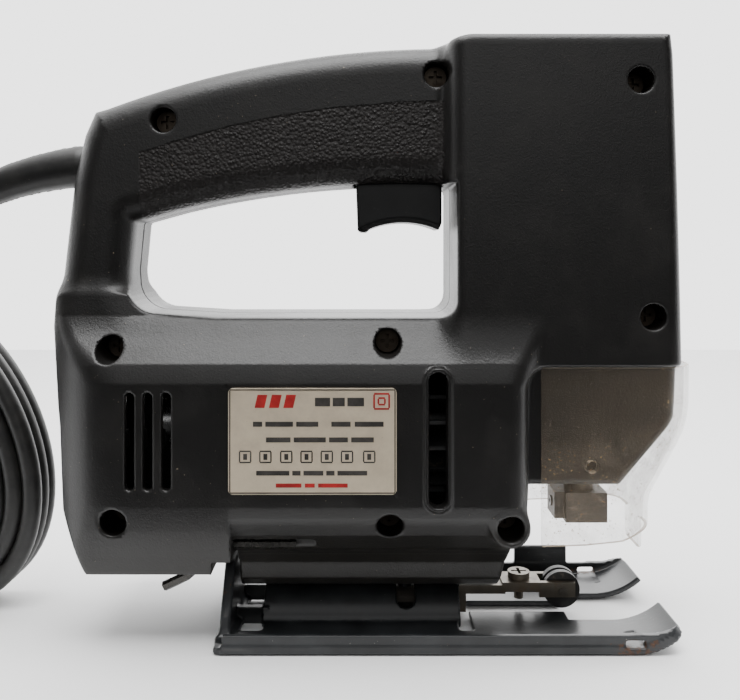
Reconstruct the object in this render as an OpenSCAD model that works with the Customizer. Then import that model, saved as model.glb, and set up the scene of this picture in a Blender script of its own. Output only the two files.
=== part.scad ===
// Corded jigsaw with a bow handle, a pressed-steel sole and a snap-on clear guard.
// X runs towards the front, Y to the user's left and Z up. The origin is on the
// underside of the sole, on the line of the blade and the plunger.

/* [Housing] */
// Half width of the motor bulge
bulge_half_w = 33; // [32:0.5:34]
// Half width of the handle
handle_half_w = 17.5; // [17:0.5:19]
// Half width of the gearbox block at the front
block_half_w = 26; // [25.6:0.2:27]
// Half width of the nose behind the guard
nose_half_w = 22; // [21:0.5:22]
// Half width of the keel that stands on the sole
keel_half_w = 12; // [11:0.5:12]
// Wall of the moulded shells
wall = 3; // [2.5:0.1:3]
// Height of the gearbox block's top
top_z = 194; // [192:1:196]

/* [Drive] */
// Height of the motor axis
motor_z = 66; // [65.5:0.5:66.5]
// Teeth on the drive gear
gear_teeth = 50; // [50:10:50]
// Teeth on the motor pinion
pinion_teeth = 10; // [10:2:10]
// Size of a tooth: pitch diameter over number of teeth
gear_module = 0.8; // [0.78:0.01:0.8]
// Blade stroke
stroke = 16; // [14:1:16]
// Diameter of the plunger
plunger_d = 10; // [9:0.5:10]

/* [Sole] */
// Width of the sole
sole_w = 62; // [60:1:62]
// Thickness of the pressed steel
sole_t = 2; // [1.6:0.2:2]
// Front edge of the sole
sole_front = 25; // [24:0.5:26]
// Rear edge of the sole
sole_rear = -121; // [-121:0.5:-120]
// Height of the turned-up side flanges
flange_h = 5.8; // [5:0.2:5.8]
// Radius of the half-round saddle that the body tilts on
saddle_r = 12; // [11.6:0.1:12]
// Greatest tilt of the sole to either side, in degrees
bevel_max = 45; // [30:5:45]

/* [Cord] */
// Diameter of the mains cord
cord_d = 6.5; // [6:0.1:6.5]
// Turns in the standing coil
cord_turns = 8; // [8:1:8]

/* [Hidden] */

far = 400; // longer than the tool, for cutting shapes
gap = 0.05; // radial clearance of a running fit
fine = 48; // facets of the round parts in a preview

// Housing stations along X
body_rear = -176;
bulge_front = -22.3;
block_rear = -49;
nose_rear = -21;
keel_rear = -115.5;
keel_front = -29;
rear_corner_r = 28; // rounding of the rear corners, seen from above
skirt_front = -121.5;
skirt_z = 22.8;
notch_z = 27.5; // top of the notch that clears the sole's rear wall
chamber_floor = 36; // lowest point of the motor chamber
keel_z = 12.5;
nose_z = 49.3;
block_z = 88;

// The handle is a bow: a bar turned about a far centre below the tool
bow_x = -48;
bow_z = -126;
bow_r = 318.3;
bow_depth = 52;
grip_right = -44.5;

// Self-tapping screws that close the shells: X, Z, and the depth of the head below the mid-plane
shell_screws = [[-139.3, 167.3, 8], [-50.4, 182, 9], [13.3, 178.6, 14], [-154, 93.6, 12],
    [-66.5, 95.5, 15], [17.2, 103.8, 14], [-151.5, 40.7, 14], [-65.9, 39.1, 15], [-28.4, 38.4, 15]];
screw_head_d = 7.4;
screw_d = 3.9;
screw_hole_d = 4;
counterbore_d = 8.2;
boss_d = 10.4;

// Cooling slots
vent_x = [-146.2, -140.6, -134.9];
vent_w = 2.8;
vent_low = 51;
vent_high = 81;
exhaust_x = -51.2;
exhaust_w = 5.2;
exhaust_low = 46;
exhaust_high = 87;

// Rating plate recess
plate_rear = -116.6;
plate_front = -63;
plate_low = 49;
plate_high = 83.6;

// Hex key: its tip, and the line it is stored on
key_end = -95.4;
key_y = -22.6;
key_z = 31.6;

// Motor stations along X
rear_bearing_x = -143;
rear_bearing_w = 6;
commutator_x = -132;
commutator_w = 12;
core_x = -111;
core_w = 36;
fan_x = -57;
front_bearing_x = -42;
front_bearing_w = 7;
gear_x = -24;
gear_w = 7;
shaft_r = 3.5;
core_r = 15.6;

// Drive, worked out from the sizes above
crank_r = stroke / 2;
pitch_r = gear_module * gear_teeth / 2;
gear_z = motor_z + gear_module * (gear_teeth + pinion_teeth) / 2;
yoke_z = gear_z + crank_r;
plunger_r = plunger_d / 2;
plunger_low = 35;
plunger_high = 160;
pin_r = 2.5;

// Blade clamp at the top of its stroke
clamp_low = 33;
clamp_high = 43;
clamp_screw_r = 1.8;

// Trigger stations
trigger_rear = -76.9;
trigger_front = -47.9;
trigger_half_w = 9.2;
lock_x = -98;
lock_z = 163;

// Roller guide
roller_x = -6.5;
roller_z = 8.8;
roller_r = 6.2;
arm_half_w = 5;

// Screw that clamps the saddle under the keel
lock_screw_x = -60;

// Fence slot through both flanges
fence_x = 10;
fence_z = 3.2;
fence_w = 6;
fence_h = 2.2;

// Clear guard
guard_half_w = 25.5;
guard_t = 1.5;
guard_corner_r = 15;
guard_rear = -18;

// Cord route, leaving the handle and joining the coil, then from the coil to the plug
sleeve_path = [[-171.6, 0, 153.6], [-178, 0, 152.8], [-186, 0, 151.2], [-194, 0, 149], [-202, 0, 146],
    [-210, 0, 142.2], [-217, 0, 138.2], [-224, 0, 134]];
lead_path = [[-224, 0, 134], [-230, 0, 130.2], [-236, 0.2, 126.4], [-242, 0.5, 122.8], [-248, 1, 119],
    [-254, 1.4, 115.4], [-260, 1.8, 111.4], [-265, 2.4, 107.4]];
tail_path = [[-272, 20, 68], [-277, 24, 59], [-284, 28, 48.5], [-292, 32, 38], [-299.5, 35.5, 29.5],
    [-305, 37.6, 23], [-307.4, 38.8, 16.6], [-305, 39.4, 11.4], [-299.5, 39.5, 9], [-292, 39.5, 9]];
plug_x = -292;
plug_y = 39.5;
plug_z = 9;
coil_centre = [-234, 57.7];
coil_tilt = 30;
coil_long = 62;
coil_short = 42;
coil_depth = 19.5; // three cords side by side

// ---- Helpers ----

// Extrudes an X-Z outline to both sides of the mid-plane
module side(w) rotate([90, 0, 0]) linear_extrude(w, center = true) children();

// Extrudes a Y-Z section from X = x0 to X = x1
module along_x(x0, x1) translate([x0, 0, 0]) rotate([90, 0, 90]) linear_extrude(x1 - x0) children();

// Round bar along X, Y or Z from its first end
module rod_x(r, x, len, y = 0, z = 0) translate([x, y, z]) rotate([0, 90, 0]) cylinder(r = r, h = len, $fn = fine);
module rod_y(r, y, len, x = 0, z = 0) translate([x, y, z]) rotate([-90, 0, 0]) cylinder(r = r, h = len, $fn = fine);
module rod_z(r, z, len, x = 0, y = 0) translate([x, y, z]) cylinder(r = r, h = len, $fn = fine);

// Plain ring along X
module ring_x(r_out, r_in, x, len, z) {
    difference() {
        rod_x(r_out, x, len, 0, z);
        rod_x(r_in, x - 1, len + 2, 0, z);
    }
}

// Box given by its lowest and highest corners
module block(low, high) translate(low) cube(high - low);

// Upright slot with round ends, through the wall on one side
module wall_slot(x, w, low, high, y0, y1) {
    for (z = [low + w / 2, high - w / 2]) rod_y(w / 2, y0, y1 - y0, x, z);
    block([x - w / 2, y0, low + w / 2], [x + w / 2, y1, high - w / 2]);
}

// Unit vector, and a frame across a path at its point i
function unit(v) = v / norm(v);
function heading(p, i) = unit(p[min(i + 1, len(p) - 1)] - p[max(i - 1, 0)]);
function across(t) = unit(cross(t, abs(t[1]) < 0.9 ? [0, 1, 0] : [1, 0, 0]));

// Tube swept along points, with its radius going evenly from r0 to r1
module swept(p, r0, r1, sides = 8) {
    n = len(p);
    rings = [for (i = [0:n - 1]) let (t = heading(p, i), a = across(t), b = cross(t, a),
        r = r0 + (r1 - r0) * i / (n - 1))
        for (k = [0:sides - 1]) p[i] + r * (cos(360 * k / sides) * a + sin(360 * k / sides) * b)];
    walls = [for (i = [0:n - 2], k = [0:sides - 1]) let (k2 = (k + 1) % sides)
        [(i + 1) * sides + k, (i + 1) * sides + k2, i * sides + k2, i * sides + k]];
    first = [for (k = [0:sides - 1]) k];
    last = [for (k = [sides - 1:-1:0]) (n - 1) * sides + k];
    polyhedron(rings, concat([first], walls, [last]));
}

// ---- Housing shapes ----

// Points on an arc about [x, z], from angle a0 to a1
function arc(x, z, r, a0, a1, n) = [for (i = [0:n]) let (a = a0 + (a1 - a0) * i / n) [x + r * cos(a), z + r * sin(a)]];

// Outline of the whole housing from the side
module side_outline() {
    offset(r = 1.5) offset(delta = -1.5) polygon(concat(
        [[-161.5, skirt_z], [-171, 42], [-174, 78], [body_rear, 100], [-170.5, 148], [-167, 163], [-163.5, 171]],
        arc(bow_x, bow_z, bow_r, 110.5, 90.6, 12),
        [[-40, top_z], [23.5, top_z], [24.4, 187], [28.6, block_z], [26.4, 71], [8, nose_z], [nose_rear, nose_z],
         [-23.4, 38], [-25, 32], [keel_front, keel_z - 1], [keel_rear, keel_z - 1], [keel_rear - 1, skirt_z]]));
}

// Outline of the grip opening
module grip_outline() {
    offset(r = -3) offset(delta = 3) offset(r = 3) offset(delta = -3) polygon(concat(
        [[-149.5, 134], [-151, 118], [-148, 109]], arc(-95, 560, 457, 263.5, 265, 2),
        [[-122, 103.3], [-49.5, 103.3], [grip_right, 108], [grip_right, 146.3]],
        arc(-61, -175.4, 322, 88, 103.5, 8)));
}

// Half of a symmetric section, as a list of Y-Z points from top to bottom, mirrored
module symmetric(p) polygon(concat(p, [for (i = [len(p) - 1:-1:0]) [-p[i][0], p[i][1]]]));

bulge_half = [[17.5, 110], [18.5, 103.5], [30.5, 89.5], [bulge_half_w, 84], [bulge_half_w, 46], [31.5, 41.5],
    [27, 35.2], [20, 29.2], [15, 26.2], [12.6, 24]];
rear_half = [[17.5, 110], [18.5, 103.5], [30.5, 89.5], [bulge_half_w, 84], [bulge_half_w, 46], [31.5, 38],
    [29.5, 30], [28, skirt_z]];
keel_half = [[15, 34], [15, 26.2], [12.6, 22], [keel_half_w, keel_half_w + 4], [8.5, keel_z], [0, keel_z]];

// Rounded plan outline of a block
module plan(x0, x1, half_w, r) offset(r = r) offset(delta = -r) translate([x0, -half_w]) square([x1 - x0, 2 * half_w]);

// Rounded bar of the bow handle, made smaller all round by inset for its hollow
module handle_bar(inset = 0) {
    translate([bow_x, 0, bow_z]) rotate([90, 0, 0]) rotate_extrude(angle = 22, start = 90, $fn = 360)
        offset(r = 12 - inset, $fn = 32) offset(delta = -12) translate([bow_r - bow_depth, -handle_half_w])
            square([bow_depth, 2 * handle_half_w]);
}

module outer_body() {
    difference() {
        intersection() {
            union() {
                // bulge over the motor
                intersection() {
                    along_x(keel_rear, bulge_front) symmetric(bulge_half);
                    linear_extrude(far) plan(body_rear - 20, bulge_front, bulge_half_w, 8);
                }
                intersection() {
                    along_x(body_rear, keel_rear) symmetric(rear_half);
                    linear_extrude(far) plan(body_rear, keel_rear + 60, bulge_half_w, rear_corner_r);
                }
                // rear column and handle
                translate([0, 0, 95]) linear_extrude(80) plan(body_rear, -140, handle_half_w, 9);
                handle_bar();
                // gearbox block and nose
                translate([0, 0, block_z]) linear_extrude(far) plan(block_rear, 29, block_half_w, 8);
                translate([0, 0, nose_z]) linear_extrude(50) plan(-40, 27, nose_half_w, 5);
                // keel
                along_x(keel_rear, -20) symmetric(keel_half);
            }
            side(far) side_outline();
        }
        side(far) grip_outline();
        // room for the sole's rear wall as the sole tilts
        block([skirt_front, -far, -1], [keel_rear, far, notch_z]);
        // the keel sits on the saddle
        rod_x(saddle_r + 0.4, keel_rear - 1, keel_front - keel_rear + 8);
    }
}

// Hollow of the housing: motor chamber, handle, rear column, nose and gearbox block
module hollow() {
    difference() {
        intersection() {
            union() {
                intersection() {
                    along_x(body_rear + 4, bulge_front - wall) offset(delta = -wall) symmetric(bulge_half);
                    block([-far, -far, chamber_floor], [far, far, far]);
                    linear_extrude(far) plan(body_rear + wall, 60, bulge_half_w - wall, rear_corner_r - wall);
                }
                handle_bar(wall);
                translate([0, 0, 90]) linear_extrude(75) plan(body_rear + wall, -140 - wall, handle_half_w - wall, 6);
                translate([0, 0, nose_z + 17]) linear_extrude(30) plan(-45, 24, nose_half_w - wall, 3);
                translate([0, 0, block_z + wall]) linear_extrude(far)
                    plan(block_rear + wall, 26, block_half_w - wall, 5);
            }
            side(far) offset(delta = -wall) side_outline();
        }
        side(far) offset(delta = wall) grip_outline();
        // seat of the upper bushing
        block([-11, -far, 126], [29, far, 141]);
    }
}

// Ribs and bosses inside the shells
module ribs() {
    intersection() {
        union() {
            // rear bearing bridge
            block([rear_bearing_x - 2, -far, motor_z - 14], [rear_bearing_x + rear_bearing_w - 1, far, motor_z + 14]);
            // bosses for the shell screws
            for (s = shell_screws) rod_y(boss_d / 2, -far, 2 * far, s[0], s[1]);
            // cradle of the stator
            for (x = [-108, -82]) along_x(x, x + 4) difference() {
                translate([0, motor_z]) square([70, 62], center = true);
                translate([0, motor_z]) stator_outline(gap);
            }
            // posts under the cord clamp
            for (y = [-11, 11]) block([-158, y - 6, 148], [-151, y + 6, 156.8]);
            // rib across each cooling slot
            for (y = [-1, 1]) block([-150, y > 0 ? 26 : -31, motor_z - 3], [-131, y > 0 ? 31 : -26, motor_z + 3]);
        }
        outer_body();
    }
}

// Bores and openings through the shells
module openings() {
    // bearings, bushings and the plunger
    rod_x(9.5 + gap, rear_bearing_x, rear_bearing_w + 1, 0, motor_z);
    rod_x(6, rear_bearing_x - 3, 20, 0, motor_z);
    rod_z(8.5 + gap, 53.3, 30);
    rod_z(8.5 + gap, 125, 14);
    rod_z(7.5, 48, 8);
    rod_z(9 + gap, 50.2, 3.15);
    rod_z(6, 120, 30);
    // trigger slot
    block([trigger_rear - 0.5, -trigger_half_w - 0.5, 130], [trigger_front + 0.5, trigger_half_w + 0.5, 160]);
    // lock button, on the left
    rod_y(4.6, 10, far, lock_x, lock_z);
    // cord sleeve, its collar, and the screws of the cord clamp
    rod_x(7.1, body_rear - 10, 20, 0, 153.6);
    rod_x(9.1, -166.1, 3.2, 0, 153.6);
    for (y = [-8, 8]) rod_z(1.65, 150, 12, -154.5, y);
    // cooling slots, both sides
    for (m = [0, 1]) mirror([0, m, 0]) {
        for (x = vent_x) wall_slot(x, vent_w, vent_low, vent_high, -far, -26.5);
        wall_slot(exhaust_x, exhaust_w, exhaust_low, exhaust_high, -far, -25);
    }
    // pivot holes for the guard's pegs
    for (m = [0, 1]) mirror([0, m, 0]) rod_y(2.1, -nose_half_w - 1, 3, -1.5, 56);
    // recess for the rating plate, on the right
    block([plate_rear, -far, plate_low], [plate_front, -bulge_half_w + 0.6, plate_high]);
    // groove that stores the hex key, on the right
    block([keel_rear, -far, key_z - 1.85], [key_end + 4.4, key_y + 1.8, key_z + 1.85]);
    rod_y(1.85, -far, far + key_y + 1.8, key_end + 4.4, key_z);
    swept(key_path, 2, 2, 12);
    // room for the plate, the pinion and the gear at the front of the motor chamber
    along_x(-29, gear_x - 1.8) {
        translate([0, motor_z]) circle(r = 16.2, $fn = 64);
        translate([0, 91]) square([44.4, 14.4], center = true);
    }
    rod_x(7.5, -29, 15, 0, motor_z);
    rod_x(21.1, gear_x - 2, gear_w + 4, 0, gear_z);
    // thread of the screw that holds the sole
    rod_z(2.4, 0, 26, lock_screw_x);
}

// Screws that enter from the right: clearance in the right shell and a pilot hole in the left one
module screw_holes() {
    for (s = shell_screws) {
        rod_y(counterbore_d / 2, -far, far - s[2], s[0], s[1]);
        rod_y(screw_hole_d / 2, -s[2] - 1, s[2] + 14, s[0], s[1]);
    }
}

module shells() {
    difference() {
        union() {
            difference() {
                outer_body();
                hollow();
            }
            ribs();
        }
        openings();
        screw_holes();
    }
}

module housing_right() color("#26262a") intersection() {
    shells();
    block([-far, -far, -far], [far, -0.02, far]);
}

module housing_left() color("#26262a") intersection() {
    shells();
    block([-far, 0.02, -far], [far, far, far]);
}

module cross_head(d, h, recess = 2.6) {
    difference() {
        cylinder(d = d, h = h, $fn = 32);
        for (a = [0, 90]) rotate([0, 0, a]) translate([-recess, -0.5, h - 1.4]) cube([2 * recess, 1, 3]);
    }
}

module housing_screws() color("#8f8c86") for (s = shell_screws) translate([s[0], -s[2], s[1]]) rotate([90, 0, 0]) {
    cross_head(screw_head_d, 2.6, 2.2);
    translate([0, 0, -s[2] - 11]) cylinder(d = screw_d, h = s[2] + 11, $fn = 24);
}

module rating_plate() color("#b9b4a6")
    translate([0, -bulge_half_w + 0.35, 0]) side(0.5) offset(r = 1.5, $fn = 24) offset(delta = -1.5)
        translate([plate_rear + 1, plate_low + 1]) square([plate_front - plate_rear - 2, plate_high - plate_low - 2]);

// ---- Handle, switch and cord entry ----

module trigger() color("#2a2a2c") {
    difference() {
        side(2 * trigger_half_w) offset(r = 1) offset(delta = -1) polygon(concat(
            [[trigger_rear, 151], [trigger_rear + 1, 131], [trigger_rear + 3.6, 130.8]],
            arc(-61, 104.5, 29.6, 112, 66, 10), [[trigger_front - 0.6, 132.6], [trigger_front, 151]]));
    }
    block([trigger_rear - 1.5, -12, 150], [trigger_front - 1, 12, 153.4]);
    block([-67, -4, 153.4], [-59, 4, 157]);
}

module trigger_spring() color("#9a9a9a") ring_z(5, 4, 153.45, 10.5, -73.5);

module ring_z(r_out, r_in, z, len, x = 0, y = 0) difference() {
    rod_z(r_out, z, len, x, y);
    rod_z(r_in, z - 1, len + 2, x, y);
}

module switch_body() color("#3a3a3d") {
    difference() {
        block([-89, -9, 164], [-56.5, 9, 183]);
        block([-67.5, -4.5, 162], [-58.5, 4.5, 172]);
    }
}

module lock_button() color("#1c1c1e") {
    rod_y(4.5, 11, 9.2, lock_x, lock_z);
    rod_y(6.2, 11, 1.6, lock_x, lock_z);
}

module capacitor() color("#c9a23c") block([-130, -6, 147], [-112, 6, 159]);

module inner_cord() color("#1b1b1d") rod_x(cord_d / 2, -163, 14.5, 0, 153.6);

module lead_wires() color("#6b4a2e") for (y = [-3, 3])
    swept([[-148, y, 153.6], [-140, y, 155], [-130, y, 166], [-112, y, 170], [-100, y, 172], [-89, y, 172]], 1.2, 1.2, 8);

module cord_clamp() color("#303033") difference() {
    block([-158, -11, 156.9], [-151, 11, 160.4]);
    for (y = [-8, 8]) rod_z(1.7, 150, 20, -154.5, y);
}

module cord_clamp_screws() color("#9a9791") for (y = [-8, 8]) {
    rod_z(3, 160.4, 1.8, -154.5, y);
    rod_z(1.6, 152, 8.4, -154.5, y);
}

module cord_sleeve() color("#1d1d1f") {
    swept(sleeve_path, 7.2, 4.6, 16);
    rod_x(7, -171.6, 8.6, 0, 153.6);
    rod_x(9, -166, 3, 0, 153.6);
}

module mains_cord() color("#1b1b1d") swept(lead_path, cord_d / 2, cord_d / 2, 10);

module cord_tail() color("#1b1b1d") swept(tail_path, cord_d / 2, cord_d / 2, 10);

module coil_ellipse(inset) rotate(coil_tilt) scale([coil_short - inset, coil_long - inset]) circle(r = 1, $fn = 72);

module cord_coil() color("#1b1b1d")
    translate([0, coil_depth / 2, 0]) side(coil_depth) translate(coil_centre) difference() {
        coil_ellipse(0);
        coil_ellipse(coil_depth);
    }

// Band round the turns, at the low left of the coil
module cord_tie() color("#38383a")
    translate([coil_centre[0], 0, coil_centre[1]]) rotate([0, -coil_tilt, 0]) rotate([0, -52, 0])
        translate([-38.5, 0, 0]) difference() {
            block([-14, -1.4, -3], [14, coil_depth + 1.4, 3]);
            block([-12.6, 0, -4], [12.6, coil_depth, 4]);
        }

module mains_plug() color("#1d1d1f") {
    translate([plug_x, plug_y, plug_z]) rotate([0, 90, 0]) cylinder(r1 = 4.4, r2 = 6.4, h = 18, $fn = 32);
    translate([plug_x + 17, plug_y, 0]) linear_extrude(17.6) offset(r = 4) offset(delta = -4)
        polygon([[0, -9], [20, -19], [30, -19], [34, -12], [34, 12], [30, 19], [20, 19], [0, 9]]);
}

module plug_pins() color("#c4b078") for (s = [-1, 1]) rod_x(2.4, plug_x + 51, 19, plug_y + s * 9.5, plug_z);

// ---- Motor ----

module stator_outline(grow = 0) intersection() {
    circle(r = 28 + grow, $fn = 72);
    square([53 + 2 * grow, 60], center = true);
}

module stator_core() color("#6f7276") along_x(core_x - 0.5, core_x + core_w + 0.5) translate([0, motor_z]) difference() {
    stator_outline();
    circle(r = core_r + 0.6, $fn = 72);
    for (y = [-1, 1], z = [-1, 1]) translate([y * 18.7, z * 8.9]) square([5.6, 8.6], center = true);
}

// One copper coil over the upper pole; the lower one mirrors it
module pole_coil() {
    for (y = [-1, 1]) block([-119, y * 18.7 - 2.4, 5], [-67, y * 18.7 + 2.4, 12.8]);
    for (x = [-119, -73.6]) intersection() {
        ring_x(21.4, 16.6, x, 6.6, 0);
        block([x - 1, -40, 5], [x + 10, 40, 40]);
    }
}

module field_coils() color("#b5673a") translate([0, 0, motor_z]) {
    pole_coil();
    mirror([0, 0, 1]) pole_coil();
}

module armature_shaft() color("#b9bbbe") {
    rod_x(shaft_r - 0.02, rear_bearing_x - 1, 99, 0, motor_z);
    rod_x(3.98, front_bearing_x - 4, 12, 0, motor_z);
    rod_x(2.5, front_bearing_x + 4, 21, 0, motor_z);
}

module armature_core() color("#75787c") along_x(core_x, core_x + core_w) translate([0, motor_z]) difference() {
    circle(r = core_r, $fn = 72);
    for (i = [0:11]) rotate(30 * i) translate([12.4, -1.3]) square([4, 2.6]);
    circle(r = shaft_r, $fn = 32);
}

module armature_windings() color("#b5673a") {
    ring_x(12.6, shaft_r, core_x - 7, 6.9, motor_z);
    ring_x(12.6, shaft_r, core_x + core_w + 0.1, 7, motor_z);
}

module commutator() color("#c07c4a") along_x(commutator_x, commutator_x + commutator_w) translate([0, motor_z]) difference() {
    circle(r = 10, $fn = 72);
    for (i = [0:23]) rotate(15 * i) translate([9.2, -0.3]) square([2, 0.6]);
    circle(r = shaft_r, $fn = 32);
}

brush_x = commutator_x + commutator_w / 2;

module brush_holders() color("#c8a24a") for (s = [-1, 1]) difference() {
    block([brush_x - 4.5, s > 0 ? 12 : -29.9, motor_z - 5.5], [brush_x + 4.5, s > 0 ? 29.9 : -12, motor_z + 5.5]);
    block([brush_x - 3.2, -26.5, motor_z - 4.2], [brush_x + 3.2, 26.5, motor_z + 4.2]);
}

module carbon_brushes() color("#2b2b2b") for (s = [-1, 1])
    block([brush_x - 3, s > 0 ? 10.15 : -20, motor_z - 4], [brush_x + 3, s > 0 ? 20 : -10.15, motor_z + 4]);

module brush_springs() color("#9a9a9a") for (s = [0, 1]) mirror([0, s, 0]) difference() {
    rod_y(2.6, 20.1, 6.3, brush_x, motor_z);
    rod_y(1.9, 19, 8, brush_x, motor_z);
}

module bearing(x, w, r_out, r_in) {
    ring_x(r_out, r_out - 2, x, w, motor_z);
    ring_x(r_in + 2, r_in, x, w, motor_z);
    ring_x(r_out - 2, r_in + 2, x + w * 0.15, w * 0.7, motor_z);
}

module rear_bearing() color("#a9abae") bearing(rear_bearing_x, rear_bearing_w, 9.5, 3.52);

module front_bearing() color("#a9abae") bearing(front_bearing_x, front_bearing_w, 11, 4.02);

module fan() color("#1f1f21") {
    ring_x(8, shaft_r, fan_x, 11, motor_z);
    ring_x(24, 7.9, fan_x, 1.6, motor_z);
    translate([0, 0, motor_z]) for (i = [0:17]) rotate([20 * i, 0, 0])
        block([fan_x + 1.5, -0.6, 11], [fan_x + 10, 0.6, 23.6]);
}

// Spur gear outline with straight-sided teeth; the flanks stay clear of the mating teeth
module gear_outline(teeth, addendum) {
    r = gear_module * teeth / 2;
    root = r - 1.25 * gear_module;
    circle(r = root + 0.02, $fn = 72);
    for (i = [0:teeth - 1]) rotate(360 * i / teeth) polygon([
        [root - 0.3, -0.72 * gear_module], [root + 0.2, -0.72 * gear_module], [r, -0.62 * gear_module],
        [r + addendum, -0.3 * gear_module], [r + addendum, 0.3 * gear_module], [r, 0.62 * gear_module],
        [root + 0.2, 0.72 * gear_module], [root - 0.3, 0.72 * gear_module]]);
}

module pinion() color("#8d8f92") along_x(gear_x - 1, gear_x + gear_w) translate([0, motor_z]) difference() {
    gear_outline(pinion_teeth, 0.8 * gear_module);
    circle(r = 2.5, $fn = 32);
}

module drive_gear() color("#85878a") difference() {
    along_x(gear_x, gear_x + gear_w) translate([0, gear_z]) rotate(180 / gear_teeth) difference() {
        gear_outline(gear_teeth, 0.8 * gear_module);
        circle(r = 4 + gap, $fn = 48);
    }
    rod_x(pin_r, gear_x - 1, gear_w + 2, 0, yoke_z);
}

module gear_shaft() color("#b9bbbe") {
    rod_x(4, front_bearing_x, gear_x + gear_w - front_bearing_x + 0.6, 0, gear_z);
    rod_x(3.2, front_bearing_x, gear_x + gear_w - front_bearing_x + 2.4, 0, gear_z);
}

module gear_clip() color("#77797c") ring_x(4.9, 3.2, gear_x + gear_w + 0.6, 0.8, gear_z);

// The pin stops short of the yoke, where the drive's closed loop is opened
module crank_pin() color("#c0c2c4") rod_x(pin_r, gear_x, gear_w + 3.2, 0, yoke_z);

module gearbox_plate() color("#9da0a3") difference() {
    along_x(front_bearing_x - 1, gear_x - 2) union() {
        translate([0, motor_z]) circle(r = 16, $fn = 64);
        translate([0, gear_z]) circle(r = 11, $fn = 64);
        translate([0, 91]) offset(r = 2) square([40, 10], center = true);
    }
    rod_x(11, front_bearing_x, front_bearing_w, 0, motor_z);
    rod_x(7, front_bearing_x - 2, 30, 0, motor_z);
    rod_x(4, front_bearing_x - 2, 30, 0, gear_z);
}

// ---- Plunger ----

module plunger() color("#c4c6c8") rod_z(plunger_r, plunger_low, plunger_high - plunger_low);

module plunger_yoke() color("#8d8f92") difference() {
    union() {
        block([-13, -16, yoke_z - 8], [-7.5, 16, yoke_z + 8]);
        block([-8, -7.5, yoke_z - 8], [7.5, 7.5, yoke_z + 8]);
    }
    rod_z(plunger_r, yoke_z - 9, 18);
    block([-14, -crank_r, yoke_z - pin_r - 0.4], [-9.4, crank_r, yoke_z + pin_r + 0.4]);
    for (s = [-1, 1]) rod_x(pin_r + 0.4, -14, 4.6, s * crank_r, yoke_z);
}

module lower_bushing() color("#a8814a") ring_z(8.5, plunger_r + gap, 53.4, 12.5);

module upper_bushing() color("#a8814a") ring_z(8.5, plunger_r + gap, 126, 12.5);

module felt_seal() color("#8a8578") ring_z(9, plunger_r + 0.1, 50.3, 3);

module blade_clamp() color("#6d6a66") difference() {
    union() {
        block([-9.5, -5.5, clamp_low + 1], [0, 5.5, clamp_high]);
        block([-6, -7, clamp_low], [8, 7, clamp_high]);
    }
    rod_z(plunger_r, plunger_low, 20);
    block([-4.2, -0.8, clamp_low - 2], [4.2, 0.8, plunger_low + 1]);
    rod_x(clamp_screw_r + gap, -20, 40, 0, 38.5);
}

// Grub screws at the front and the rear of the clamp, with hexagon sockets
module clamp_screws() color("#3c3c3e") for (m = [[5.2, 3.3, 7], [-9.9, 4.7, -10.9]]) difference() {
    rod_x(clamp_screw_r, m[0], m[1], 0, 38.5);
    translate([m[2], 0, 38.5]) rotate([0, 90, 0]) cylinder(r = 0.9, h = 2.5, $fn = 6);
}

// ---- Guard ----

// Height of each level of the guard, and where its front is there
guard_levels = [[0, 19.6], [43, 19.6], [46, 20.4], [49, 22], [62, 29.2], [66, 31.1], [70, 32.3], [75, 32.9], [100, 33.2]];

// Closed form with the guard's outline at every level, made smaller all round by inset
module guard_form(inset) {
    w = guard_half_w - inset;
    r = guard_corner_r - inset;
    sides = 24;
    turn = [for (i = [0:10]) 9 * i];
    rings = [for (l = guard_levels) let (x = l[1] - inset - r) concat(
        [[-60, -w, l[0]]], [for (a = turn) [x + r * sin(a), -w + r - r * cos(a), l[0]]],
        [for (a = turn) [x + r * cos(a), w - r + r * sin(a), l[0]]], [[-60, w, l[0]]])];
    n = len(guard_levels);
    walls = [for (i = [0:n - 2], k = [0:sides - 1]) let (k2 = (k + 1) % sides)
        [i * sides + k, (i + 1) * sides + k, (i + 1) * sides + k2, i * sides + k2]];
    bottom = [for (k = [0:sides - 1]) k];
    top = [for (k = [sides - 1:-1:0]) (n - 1) * sides + k];
    polyhedron([for (ring = rings) each ring], concat([bottom], walls, [top]));
}

module guard() color([0.85, 0.86, 0.78, 0.45]) {
    difference() {
        guard_form(0);
        guard_form(guard_t);
        // cut to length at the rear, the top and the bottom, leaving a small tab at the front
        block([-70, -40, -1], [guard_rear, 40, 120]);
        block([-70, -40, 87.8], [60, 40, 120]);
        for (m = [0, 1]) mirror([0, m, 0]) translate([0, -7, 0]) rotate([90, 0, 0]) linear_extrude(40)
            polygon([[-70, -1], [-70, 31], [-4, 31.6], [8, 32.8], [15, 34.6], [60, 36], [60, -1]]);
        block([-70, -40, -1], [60, 40, 24.4]);
        block([-70, -40, -1], [15, 40, 31]);
    }
    for (m = [0, 1]) mirror([0, m, 0]) rod_y(1.8, -24.2, 3.4, -1.5, 56);
}

// ---- Sole ----

module sole_outline() difference() {
    offset(r = 3) offset(delta = -3) translate([sole_rear, -sole_w / 2]) square([sole_front - sole_rear, sole_w]);
    // blade opening, wide at the front and narrow behind the blade
    translate([-6, -10.3]) square([60, 20.6]);
    translate([-42, -4]) square([40, 8]);
    // channel under the saddle, and the wide openings at its two ends
    translate([-107.5, -saddle_r + sole_t]) square([65.5, 2 * (saddle_r - sole_t)]);
    translate([-114.6, -18.5]) square([7.1, 37]);
    translate([-42, -18.5]) square([3.6, 37]);
}

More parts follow.
